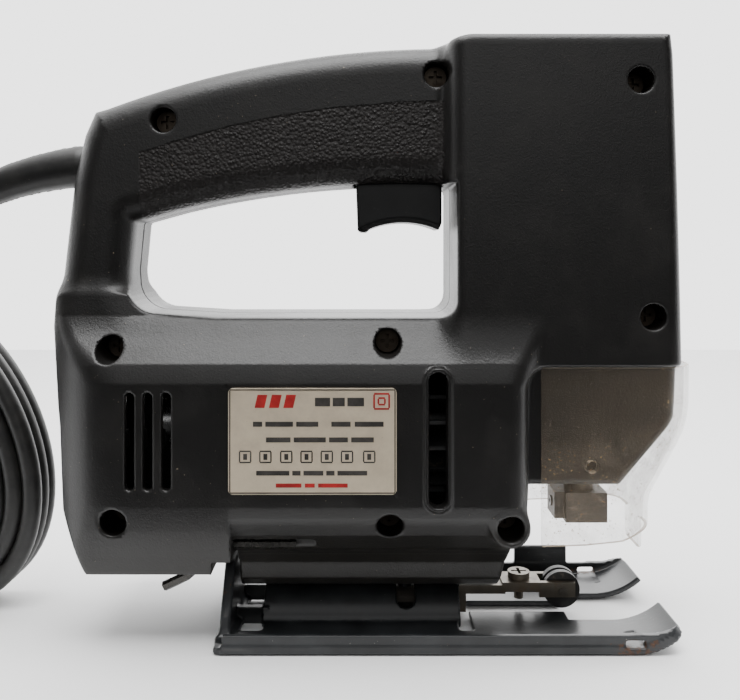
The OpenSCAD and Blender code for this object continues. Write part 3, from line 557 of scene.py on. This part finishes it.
def housing_plastic():
    """Near-black moulded plastic: fine grain, a coarser leather grain on the handle, and dust."""
    g = Graph("housing_plastic")
    reach = g.math("SQRT", g.math("ADD", g.math("POWER", g.math("ADD", g.x, 0.048), 2.0),
                                  g.math("POWER", g.math("ADD", g.z, 0.126), 2.0)))
    waver = g.math("MULTIPLY", g.math("SUBTRACT", g.noise(160, 1), 0.5), 0.0012)
    grip = g.step(g.math("ADD", reach, waver), 0.2996, 0.2988)
    grip = g.math("MULTIPLY", grip, g.step(g.x, -0.1475, -0.1465))
    grip = g.math("MULTIPLY", grip, g.step(g.x, -0.0478, -0.0486))
    grip = g.math("MULTIPLY", grip, g.step(g.z, 0.1335, 0.1365))
    fine = g.math("ADD", g.noise(1500, 3, 0.65), g.math("MULTIPLY", g.noise(620, 2), 0.5))
    pebbles = g.math("MULTIPLY", g.math("POWER", g.cells(900), 0.7), -1.3)
    coarse = g.math("ADD", pebbles, g.math("MULTIPLY", g.noise(420, 2), 0.6))
    normal = g.bump(fine, 0.00011, 0.8)
    normal = g.bump(g.math("MULTIPLY", coarse, grip), 0.00032, 0.8, normal)
    dust = g.step(g.noise(1500, 1, 0.4), 0.79, 0.82)
    smear = g.step(g.noise(55, 3, 0.6), 0.45, 0.75)
    low = g.step(g.z, 0.05, 0.012)
    tone = g.mix(smear, (0.0075, 0.0069, 0.0065), (0.0125, 0.0112, 0.0102))
    tone = g.mix(g.math("MULTIPLY", low, 0.35), tone, (0.034, 0.031, 0.026))
    tone = g.mix(g.math("MULTIPLY", grip, 0.45), tone, (0.019, 0.0145, 0.013))
    tone = g.mix(g.math("MULTIPLY", dust, 0.8), tone, (0.26, 0.21, 0.15))
    rough = g.math("ADD", g.math("MULTIPLY", smear, 0.07), g.math("MULTIPLY", grip, 0.03))
    rough = g.math("ADD", rough, g.math("MULTIPLY", g.noise(1500, 2), 0.12))
    return g.finish(Base_Color=tone, Roughness=g.math("ADD", rough, 0.31), Normal=normal)


def satin(name, colour, rough, grain=900, depth=0.00004, metal=0.0, vary=0.25, dirt=0.0,
          dirt_colour=(0.16, 0.12, 0.08)):
    """A plain finish with fine texture, uneven tone and, if asked for, dirt."""
    g = Graph(name)
    patch = g.noise(grain / 9, 4, 0.6)
    grains = g.noise(grain, 3, 0.6)
    darker = tuple(c * (1 - vary) for c in colour)
    lighter = tuple(min(1, c * (1 + vary)) for c in colour)
    tone = g.mix(g.step(patch, 0.3, 0.7), darker, lighter)
    if dirt:
        spots = g.step(g.noise(grain / 4, 5, 0.7), 0.62 - 0.3 * dirt, 0.78 - 0.2 * dirt)
        tone = g.mix(g.math("MULTIPLY", spots, min(1, 0.5 + dirt)), tone, dirt_colour)
        metal = g.math("MULTIPLY", g.math("SUBTRACT", 1.0, spots), metal) if metal else 0.0
    roughness = g.math("ADD", g.math("MULTIPLY", g.math("SUBTRACT", grains, 0.5), 0.25), rough)
    return g.finish(Base_Color=tone, Roughness=roughness, Metallic=metal, Normal=g.bump(grains, depth, 0.6))


def brushed(name, colour, rough, axis=0, dirt=0.0):
    """Metal worked along one axis, with faint lines and grime."""
    g = Graph(name)
    stretch = [1.0, 1.0, 1.0]
    stretch[axis] = 0.06
    lines = g.noise(2600, 3, 0.6, tuple(stretch))
    grime = g.step(g.noise(300, 4, 0.65), 0.60 - 0.25 * dirt, 0.85 - 0.25 * dirt)
    tone = g.mix(g.step(lines, 0.25, 0.75), tuple(c * 0.78 for c in colour), colour)
    tone = g.mix(g.math("MULTIPLY", grime, 0.4 + dirt), tone, (0.07, 0.045, 0.028))
    metal = g.math("SUBTRACT", 1.0, g.math("MULTIPLY", grime, 0.7))
    roughness = g.math("ADD", g.math("MULTIPLY", lines, 0.15), rough)
    roughness = g.math("ADD", g.math("MULTIPLY", grime, 0.3), roughness)
    return g.finish(Base_Color=tone, Metallic=metal, Roughness=roughness, Normal=g.bump(lines, 0.00002, 0.5))


def black_paint():
    """Worn stoving paint on the pressed sole: scuffs, dust and rust round the front slot."""
    g = Graph("black_paint")
    scuffs = g.step(g.noise(260, 5, 0.7, (0.12, 1, 1)), 0.60, 0.78)
    mottled = g.noise(70, 4, 0.6)
    near_slot = g.step(g.math("ABSOLUTE", g.math("SUBTRACT", g.x, 0.0105)), 0.010, 0.004)
    outside = g.math("MULTIPLY", g.step(g.z, 0.0058, 0.0040), g.step(g.math("ABSOLUTE", g.y), 0.027, 0.0295))
    near_slot = g.math("MULTIPLY", near_slot, outside)
    rear = g.math("MULTIPLY", g.step(g.x, -0.113, -0.1175), 0.35)
    likely = g.math("MULTIPLY", g.math("ADD", near_slot, rear), 0.22)
    rust = g.step(g.math("ADD", g.noise(700, 4, 0.7), likely), 0.69, 0.76)
    specks = g.step(g.noise(1500, 1), 0.78, 0.82)
    tone = g.mix(g.step(mottled, 0.35, 0.7), (0.010, 0.011, 0.012), (0.024, 0.026, 0.028))
    tone = g.mix(g.math("MULTIPLY", scuffs, 0.5), tone, (0.075, 0.075, 0.072))
    tone = g.mix(specks, tone, (0.22, 0.21, 0.19))
    tone = g.mix(g.math("MULTIPLY", rust, 0.75), tone, (0.085, 0.034, 0.012))
    rough = g.math("ADD", g.math("MULTIPLY", rust, 0.3), 0.22)
    rough = g.math("ADD", g.math("MULTIPLY", mottled, 0.22), rough)
    height = g.math("ADD", g.math("MULTIPLY", rust, 0.5), g.noise(800, 2))
    height = g.math("ADD", g.math("MULTIPLY", mottled, 0.5), height)
    return g.finish(Base_Color=tone, Roughness=rough, Normal=g.bump(height, 0.00006, 0.5))


def clear_guard():
    """Clear moulded plastic, yellowed, scratched and dusted with sawdust towards the bottom; its rims and its
    front panel are made more opaque as painted edge shade.
    """
    g = Graph("clear_guard")
    crumbs = g.step(g.noise(1300, 2, 0.5), 0.66, 0.72)
    lean = g.math("ADD", g.step(g.z, 0.072, 0.060), g.math("MULTIPLY", g.step(g.x, 0.012, 0.026), 0.6))
    band = g.math("MULTIPLY", g.step(g.noise(140, 3, 0.6), 0.40, 0.66), lean)
    crumbs = g.math("MULTIPLY", crumbs, g.math("ADD", 0.25, g.math("MULTIPLY", band, 1.1)))
    haze = g.math("MULTIPLY", g.step(g.noise(60, 4, 0.6), 0.30, 0.75), 0.05)
    scratch = g.math("MULTIPLY", g.step(g.noise(420, 4, 0.6, (1.0, 1.0, 0.08)), 0.64, 0.72), 0.07)
    film_and_edge_shade = g.math("ADD", g.math("ADD", haze, scratch), g.math("MULTIPLY", band, 0.08))
    # Painted edge shade: the rims (faces turned up or down) and the front panel (faces turned forwards, seen
    # edge-on) get extra opacity so that they show darker.
    facing = g.tree.nodes.new("ShaderNodeTexCoord").outputs["Normal"]
    turned = g.add("ShaderNodeSeparateXYZ", Vector=facing).outputs
    uneven = g.step(g.noise(500, 2), 0.2, 0.5, 0.5, 0.8)
    painted_edge_shade = g.math("MULTIPLY", g.step(g.math("ABSOLUTE", turned[2]), 0.6, 0.9), uneven)
    front = g.math("MULTIPLY", g.step(g.math("ABSOLUTE", turned[0]), 0.55, 0.95), 0.12)
    # the painted edge shade is added to the real haze, scratches and sawdust film
    film_and_edge_shade = g.math("ADD", film_and_edge_shade, g.math("ADD", painted_edge_shade, front))
    solid_part = g.math("MINIMUM", g.math("ADD", g.math("ADD", film_and_edge_shade, crumbs), 0.055), 0.9)
    tone = g.mix(g.math("MINIMUM", crumbs, 1.0), (0.44, 0.36, 0.27), (0.30, 0.19, 0.09))
    wave = g.noise(90, 3, 0.5)
    return g.finish(Base_Color=tone, Roughness=0.16, Alpha=solid_part, IOR=1.49,
                    Normal=g.bump(g.math("ADD", wave, g.math("MULTIPLY", crumbs, 0.4)), 0.0003, 0.35))


def plate_print():
    """Printed foil: warm grey, rubbed and a little dirty."""
    g = Graph("plate_print")
    rubbed = g.noise(130, 5, 0.65)
    speck = g.step(g.noise(1400, 2), 0.70, 0.76)
    tone = g.mix(g.step(rubbed, 0.3, 0.75), (0.66, 0.56, 0.42), (0.56, 0.475, 0.355))
    tone = g.mix(g.math("MULTIPLY", speck, 0.4), tone, (0.20, 0.16, 0.12))
    rough = g.math("ADD", g.math("MULTIPLY", rubbed, 0.25), 0.34)
    return g.finish(Base_Color=tone, Roughness=rough, Normal=g.bump(g.noise(700, 3), 0.00003, 0.5))


def cord_rubber(name="cord_rubber"):
    g = Graph(name)
    marks = g.noise(240, 5, 0.65)
    tone = g.mix(g.step(marks, 0.35, 0.7), (0.008, 0.008, 0.0077), (0.019, 0.018, 0.0165))
    dusty = g.step(g.noise(1100, 2), 0.72, 0.80)
    tone = g.mix(g.math("MULTIPLY", dusty, 0.5), tone, (0.14, 0.12, 0.10))
    rough = g.math("ADD", g.math("MULTIPLY", marks, 0.2), 0.36)
    return g.finish(Base_Color=tone, Roughness=rough, Normal=g.bump(g.noise(900, 3), 0.00005, 0.6))


CORD = cord_rubber()
TRIM = satin("trigger_plastic", (0.006, 0.006, 0.0063), 0.38, 1100, 0.00003, vary=0.3, dirt=0.08,
             dirt_colour=(0.06, 0.055, 0.05))
dress(TRIM, "trigger", "lock_button")
dress(CORD, "cord_sleeve", "inner_cord", "mains_plug", cord)
dress(plate_print(), "rating_plate")
dress(brushed("steel_screws", (0.085, 0.07, 0.055), 0.42, 2, 0.5), "housing_screws", "cord_clamp_screws")
dress(brushed("spring_steel", (0.52, 0.52, 0.51), 0.25, 2), "trigger_spring", "brush_springs", "gear_clip")
dress(satin("inner_plastic", (0.030, 0.030, 0.031), 0.42, 800, dirt=0.22, dirt_colour=(0.20, 0.165, 0.12)),
      "switch_body", "cord_clamp", "fan")
dress(satin("capacitor_resin", (0.52, 0.34, 0.10), 0.30, 500), "capacitor")
dress(satin("wire_cover", (0.27, 0.14, 0.06), 0.42, 900), "lead_wires")
dress(satin("tie_plastic", (0.05, 0.05, 0.052), 0.40, 900, 0.00006), "cord_tie")
dress(brushed("brass", (0.72, 0.55, 0.26), 0.22, 0, 0.1), "plug_pins")
dress(brushed("dull_brass", (0.20, 0.15, 0.08), 0.40, 0, 0.4), "brush_holders")
dress(brushed("core_steel", (0.30, 0.31, 0.33), 0.38, 1), "stator_core", "armature_core")
dress(satin("copper_wire", (0.42, 0.15, 0.05), 0.30, 1400, 0.0001, metal=0.7),
      "field_coils", "armature_windings")
dress(brushed("copper", (0.72, 0.38, 0.22), 0.28, 1, 0.2), "commutator")
dress(satin("carbon", (0.03, 0.03, 0.031), 0.48, 1200), "carbon_brushes")
dress(brushed("bright_steel", (0.58, 0.58, 0.58), 0.18, 2), "armature_shaft", "rear_bearing", "front_bearing",
      "gear_shaft", "crank_pin")
dress(brushed("oiled_steel", (0.17, 0.155, 0.135), 0.34, 2, 0.35), "plunger", "roller_pin")
dress(brushed("gear_steel", (0.36, 0.36, 0.37), 0.30, 0), "pinion", "drive_gear", "plunger_yoke")
dress(satin("cast_alloy", (0.48, 0.49, 0.50), 0.40, 500, 0.00015, metal=0.9), "gearbox_plate")
dress(satin("bronze", (0.48, 0.29, 0.11), 0.36, 1100, 0.00006, metal=0.9), "lower_bushing", "upper_bushing")
dress(satin("felt", (0.27, 0.24, 0.19), 0.95, 2400, 0.0004, dirt=0.3), "felt_seal")
dress(satin("clamp_steel", (0.085, 0.076, 0.066), 0.48, 700, 0.00008, metal=0.6, dirt=0.35,
            dirt_colour=(0.17, 0.14, 0.105)),
      "blade_clamp", "clamp_shoe")
dress(satin("dark_screws", (0.05, 0.05, 0.052), 0.34, 900, metal=0.8, dirt=0.2), "clamp_screws", "sole_screw")
dress(satin("zinc_steel", (0.16, 0.142, 0.115), 0.40, 420, 0.00008, metal=0.75, dirt=0.5,
            dirt_colour=(0.11, 0.075, 0.045)),
      "roller_support", "support_screw")
dress(satin("roller_steel", (0.022, 0.021, 0.020), 0.45, 900, metal=0.3, dirt=0.15), "roller")
dress(satin("key_steel", (0.05, 0.048, 0.045), 0.27, 700, metal=0.85, dirt=0.2,
            dirt_colour=(0.09, 0.07, 0.05)), "hex_key")
HOUSING = housing_plastic()
dress(HOUSING, right_shell, left_shell)


# ---------------------------------------------------------------- sole, guard and trigger

SOLE_HALF, SOLE_T, FLANGE = 31.0, 2.0, 5.8
CURL_LENGTH = 18.8
SADDLE_X, SADDLE_HALF, SADDLE_MIDDLE_R = -74.75, 32.75, 11
CURL = (8, 26, 26)


def sole_form(x, y, z):
    """The pressed sole: a tray whose flanges follow the curl of the front, with its saddle and rear wall."""
    ay = np.abs(y)
    curl = np.hypot(x - CURL[0], z - CURL[1])
    depth = np.where(x < CURL[0], z, CURL[2] - curl)  # height above the underside, along the curl
    along = np.where(x < CURL[0], x - CURL[0],
                     np.arctan2(x - CURL[0], np.maximum(CURL[1] - z, 0.1)) * CURL[2])
    outline = thick(along - CURL_LENGTH, ay, SOLE_HALF, 5.0)
    outline = smooth_max(outline, -120.8 - x, 1.0)
    floor = np.maximum(np.abs(depth - SOLE_T / 2) - SOLE_T / 2, outline)
    rim = np.maximum(np.maximum(outline, SOLE_HALF - SOLE_T - ay),
                     depth - np.interp(along, [5, 18], [FLANGE, 2.6]).astype(np.float32))
    rim = np.maximum(rim, np.maximum(0.2 - depth, -118 - x))
    tray = smooth_min(floor, rim, 1.6)
    # blade opening, and the openings in front of and behind the saddle
    mouth = np.maximum(ay - 10.3, -6 - x)
    mouth = smooth_max(mouth, -x - 6, 1.0)
    slit = rectangle(x, y, (-38.4, -4), (-4, 4), 1.0)
    rear_bay = rectangle(x, ay, (-114.6, -30), (-107.0, 18.5), 1.5)
    front_bay = rectangle(x, ay, (-43, -30), (-38.4, 18.5), 1.2)
    bay = np.minimum(rear_bay, front_bay)
    bay = np.minimum(bay, np.maximum(ay - 10.2, np.abs(x + 75) - 33))
    tray = smooth_max(tray, -np.minimum(np.minimum(mouth, slit), bay), 0.6)
    # saddle with its curved slot
    ring = np.abs(np.hypot(y, z) - SADDLE_MIDDLE_R) - SOLE_T / 2
    saddle = np.maximum(np.maximum(ring, np.abs(x - SADDLE_X) - SADDLE_HALF), -z)
    slot = thick(np.abs(np.arctan2(y, np.maximum(z, 0.1))) * SADDLE_MIDDLE_R - 11.7, x + 60, 3.1, 3.0)
    saddle = smooth_max(saddle, -np.maximum(slot, 4 - z), 0.6)
    form = smooth_min(tray, saddle, 1.8)
    form = smooth_max(form, -np.maximum(np.hypot(y, z) - 9.98, np.abs(x - SADDLE_X) - SADDLE_HALF), 0.2)
    # rear wall, drawn up out of the tray with a wide bend, and its two gussets
    wall = np.maximum(np.abs(x + 118.25) - 1.75, np.hypot(y, z) - 25)
    slope = polygon([(24.8, 0.5), (22.4, 8), (12.2, 22), (-30, 22), (-30, 0.5)])(ay, z)
    wall = smooth_max(wall, slope, 1.2)
    form = smooth_min(form, wall, 3.0)
    gusset = np.maximum(np.abs(ay - 9.25) - 1.25, np.maximum(np.abs(x + 112) - 6, np.abs(z - 3.2) - 2.8))
    form = smooth_min(form, gusset, 0.8)
    # upstand on the left flange
    stand = box(x, y, z, (-17, 29, 3), (2.8, 31, 12.4), 0.8)
    form = smooth_min(form, stand, 0.8)
    # slots for the fence
    fence = np.maximum(rectangle(x, z, (7, 2.1), (13, 4.3), 0.8), 20 - ay)
    form = smooth_max(form, -fence, 0.5)
    return np.maximum(form, -z + 0.001)


def front_of(z):
    """Where the guard's front is at a height."""
    heights = [0, 42, 45.5, 49, 62, 66, 70, 75, 100]
    return np.interp(z, heights, [19.6, 19.6, 20.2, 22, 29.2, 31.1, 32.3, 32.9, 33.2])


GUARD_HALF, GUARD_T, GUARD_R = 25.5, 1.5, 15.0


def guard_form(x, y, z):
    front = front_of(z).astype(np.float32)
    ay = np.abs(y)
    beyond = np.maximum(x - front + GUARD_R, 0), np.maximum(ay - GUARD_HALF + GUARD_R, 0)
    outer = np.maximum(np.hypot(*beyond) - GUARD_R, ay - GUARD_HALF)
    sheet = np.abs(outer + GUARD_T / 2) - GUARD_T / 2
    lower = np.interp(x, [-20, -4, 8, 15, 19], [31.0, 31.6, 32.8, 34.6, 35.2]).astype(np.float32)
    tab = smooth_max(ay - 7, 24.4 - z, 1.5)
    trim = np.minimum(lower - z, np.maximum(tab, 15 - x))
    sheet = smooth_max(sheet, trim, 0.7)
    sheet = smooth_max(sheet, z - 87.8, 0.7)
    sheet = smooth_max(sheet, -18 - x, 0.7)
    peg = np.maximum(np.hypot(x + 1.5, z - 56) - 1.8, np.abs(ay - 22.6) - 1.8)
    return np.minimum(sheet, peg)


TRIGGER_HALF = 9.15
FINGER_ARC = (-61, 104.5, 29.6)
trigger_outline = polygon(
    [(-76.9, 151), (-76.2, 131.6), (-75.4, 130.9), (-73.3, 130.8)] + arc(*FINGER_ARC, 112, 66, 12)
    + [(-48.5, 132.6), (-47.95, 134), (-47.95, 151)])


def trigger_form(x, y, z):
    ay = np.abs(y)
    side = trigger_outline(x, z)
    pad = thick(side, y, TRIGGER_HALF, 0.8)
    # hollowed bevel along the finger edge
    below = np.hypot(x - FINGER_ARC[0], z - FINGER_ARC[1]) - FINGER_ARC[2]
    pad = smooth_max(pad, -(np.hypot(ay - 11.2, below + 1.2) - 3.3), 0.5)
    flange = box(x, y, z, (-78.3, -12, 150.1), (-49, 12, 153.3), 0.5)
    post = box(x, y, z, (-67, -4, 152), (-59, 4, 156.9), 0.5)
    return np.minimum(np.minimum(pad, flange), post)


def add_solid(name, field, low, high, step, body, material, slot, *stands_for):
    piece = solid(name, field, low, high, step, body)
    if stands_for:
        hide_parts(*stands_for)
    dress(material, piece)
    return piece


add_solid("sole_pressing", sole_form, (-121.2, -31.1, 0), (26, 31.1, 22.5), 0.7, "sole",
          black_paint(), "black_paint", "sole_plate")
add_solid("clear_dust_guard", guard_form, (-18.2, -25.6, 24), (33.4, 25.6, 88), 0.62, BODY,
          clear_guard(), "clear_guard", "guard")
add_solid("finger_trigger", trigger_form, (-78.5, -12.2, 130.5), (-47.5, 12.2, 157), 0.55, "trigger_body",
          TRIM, "trigger_plastic", "trigger")


# ---------------------------------------------------------------- cord sleeve and plug

SLEEVE = [(-171.6, 0, 153.6), (-178, 0, 152.8), (-186, 0, 151.2), (-194, 0, 149), (-202, 0, 146),
          (-210, 0, 142.2), (-217, 0, 138.2), (-224, 0, 134)]


def sleeve_form(x, y, z):
    """Bend-relief sleeve that narrows towards the cord, with a mould line and a rounded lip."""
    best = np.float32(1e3)
    lengths = np.cumsum([0] + [math.dist(a, b) for a, b in zip(SLEEVE, SLEEVE[1:])])
    for i, (a, b) in enumerate(zip(SLEEVE, SLEEVE[1:])):
        d = [q - p for p, q in zip(a, b)]
        t = np.clip(((x - a[0]) * d[0] + (z - a[2]) * d[2]) / (d[0] ** 2 + d[2] ** 2), 0, 1)
        away = np.sqrt((x - a[0] - t * d[0]) ** 2 + y ** 2 + (z - a[2] - t * d[2]) ** 2)
        share = (lengths[i] + t * (lengths[i + 1] - lengths[i])) / lengths[-1]
        best = np.minimum(best, away - (7.1 - 2.45 * share))
    end = SLEEVE[-1]
    last = ((x - end[0]) * -7 + (z - end[2]) * -4.2) / math.hypot(7, 4.2)
    best = smooth_max(best, last, 0.6)
    ridge = np.maximum(np.abs(y) - 0.25, best - 0.22)
    best = np.minimum(best, ridge)
    root = np.maximum(np.hypot(y, z - 153.6) - 6.95, np.abs(x + 167.5) - 4.5)
    collar = np.maximum(np.hypot(y, z - 153.6) - 8.95, np.abs(x + 164.5) - 1.5)
    return np.minimum(np.minimum(best, root), collar)


plug_plan = polygon(
    [(-275, -9), (-255, -19), (-245, -19), (-241, -12), (-241, 12), (-245, 19), (-255, 19), (-275, 9)])


def plug_form(x, y, z):
    """Two-pin plug with a waisted body, a ribbed neck and a groove to grip."""
    across = y - 39.5
    body = thick(plug_plan(x, across) - 0.4, z - 8.8, 8.8, 3.4)
    waist = np.hypot((x + 262) / 1.6, np.abs(across) - 21.5) - 6.0
    body = smooth_max(body, -waist, 2.0)
    neck = np.maximum(np.hypot(across, z - 9) - (4.4 + (x + 292) / 9.0), np.abs(x + 282.5) - 9.5)
    rings = 0.35 * np.cos((x + 292) * 2 * math.pi / 3.6)
    form = smooth_min(body, neck + np.clip(rings, -0.1, 0.35), 2.0)
    seam = np.maximum(np.abs(z - 8.8) - 0.18, -(form + 0.4))
    return np.maximum(smooth_max(form, -seam, 0.3), -z + 0.001)


sleeve_piece = add_solid("bend_sleeve", sleeve_form, (-228.5, -9.1, 128), (-162.8, 9.1, 163), 0.62, BODY,
                         CORD, "cord_rubber", "cord_sleeve")
plug_piece = add_solid("moulded_plug", plug_form, (-292.2, 20, 0), (-240.6, 59, 17.8), 0.7, BODY,
                       CORD, "cord_rubber", "mains_plug")


# ---------------------------------------------------------------- marks on the rating plate

def add_marks(name, bars, material):
    """Flat printed bars on the plate, each given as X, Z, width and height from its centre."""
    mesh = bpy.data.meshes.new(name)
    shape = bmesh.new()
    for x, z, w, h, lean in bars:
        ring = [(-w / 2, -h / 2), (w / 2, -h / 2), (w / 2 + lean, h / 2), (-w / 2 + lean, h / 2)]
        front = [shape.verts.new(((x + u) * MM, -32.96 * MM, (z + v) * MM)) for u, v in ring]
        back = [shape.verts.new(((x + u) * MM, -32.88 * MM, (z + v) * MM)) for u, v in ring]
        shape.faces.new(front)
        shape.faces.new(back[::-1])
        for i in range(4):
            shape.faces.new((front[i], back[i], back[(i + 1) % 4], front[(i + 1) % 4]))
    bmesh.ops.recalc_face_normals(shape, faces=shape.faces)
    shape.to_mesh(mesh)
    piece = bpy.data.objects.new(name, mesh)
    bpy.context.collection.objects.link(piece)
    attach(piece, BODY)
    dress(material, piece)
    return piece


def frame_bars(x, z, w, h, line):
    """Four bars that make the outline of a rectangle."""
    return [(x, z + h / 2, w, line, 0), (x, z - h / 2, w, line, 0),
            (x - w / 2, z, line, h - line, 0), (x + w / 2, z, line, h - line, 0)]


def dashes(x0, x1, z, height, words):
    """A row of short bars with gaps, in place of a line of print."""
    total = sum(words) + 0.35 * (len(words) - 1)
    scale, bars, x = (x1 - x0) / total, [], x0
    for length in words:
        bars.append((x + length * scale / 2, z, length * scale, height, 0))
        x += (length + 0.35) * scale
    return bars


grey_bars = frame_bars(-89.8, 66.3, 50.6, 31.6, 0.35)
grey_bars += dashes(-89, -74, 78.4, 2.6, [2, 1.6, 2.2])
grey_bars += dashes(-108, -88, 71.6, 1.5, [1, 3, 2.4]) + dashes(-84, -68, 71.6, 1.5, [1.6, 2.4])
grey_bars += dashes(-104, -71, 66.8, 1.5, [2.6, 3.4, 2, 2.4])
for place in (-110.4, -104.2, -97.8, -91.6, -85.4, -79.2, -72.4):
    grey_bars += frame_bars(place, 61.6, 3.4, 3.4, 0.4)
    grey_bars += [(place, 61.6, 1.2, 1.8, 0)]
grey_bars += dashes(-107, -73, 56.6, 1.4, [4, 1, 2.4, 1, 3.6])
red_bars = [(-106, 78.6, 3.0, 4.0, 0.9), (-101.6, 78.6, 3.0, 4.0, 0.9), (-97.2, 78.6, 3.0, 4.0, 0.9)]
red_bars += frame_bars(-68.6, 78.6, 4.6, 4.6, 0.5) + frame_bars(-68.6, 78.6, 2.0, 2.0, 0.5)
red_bars += dashes(-101, -79, 52.8, 1.2, [2.6, 1, 3])
add_marks("plate_marks_grey", grey_bars, satin("print_grey", (0.055, 0.05, 0.045), 0.42, 1500, vary=0.4))
add_marks("plate_marks_red", red_bars, satin("print_red", (0.42, 0.022, 0.022), 0.40, 1500, vary=0.3))
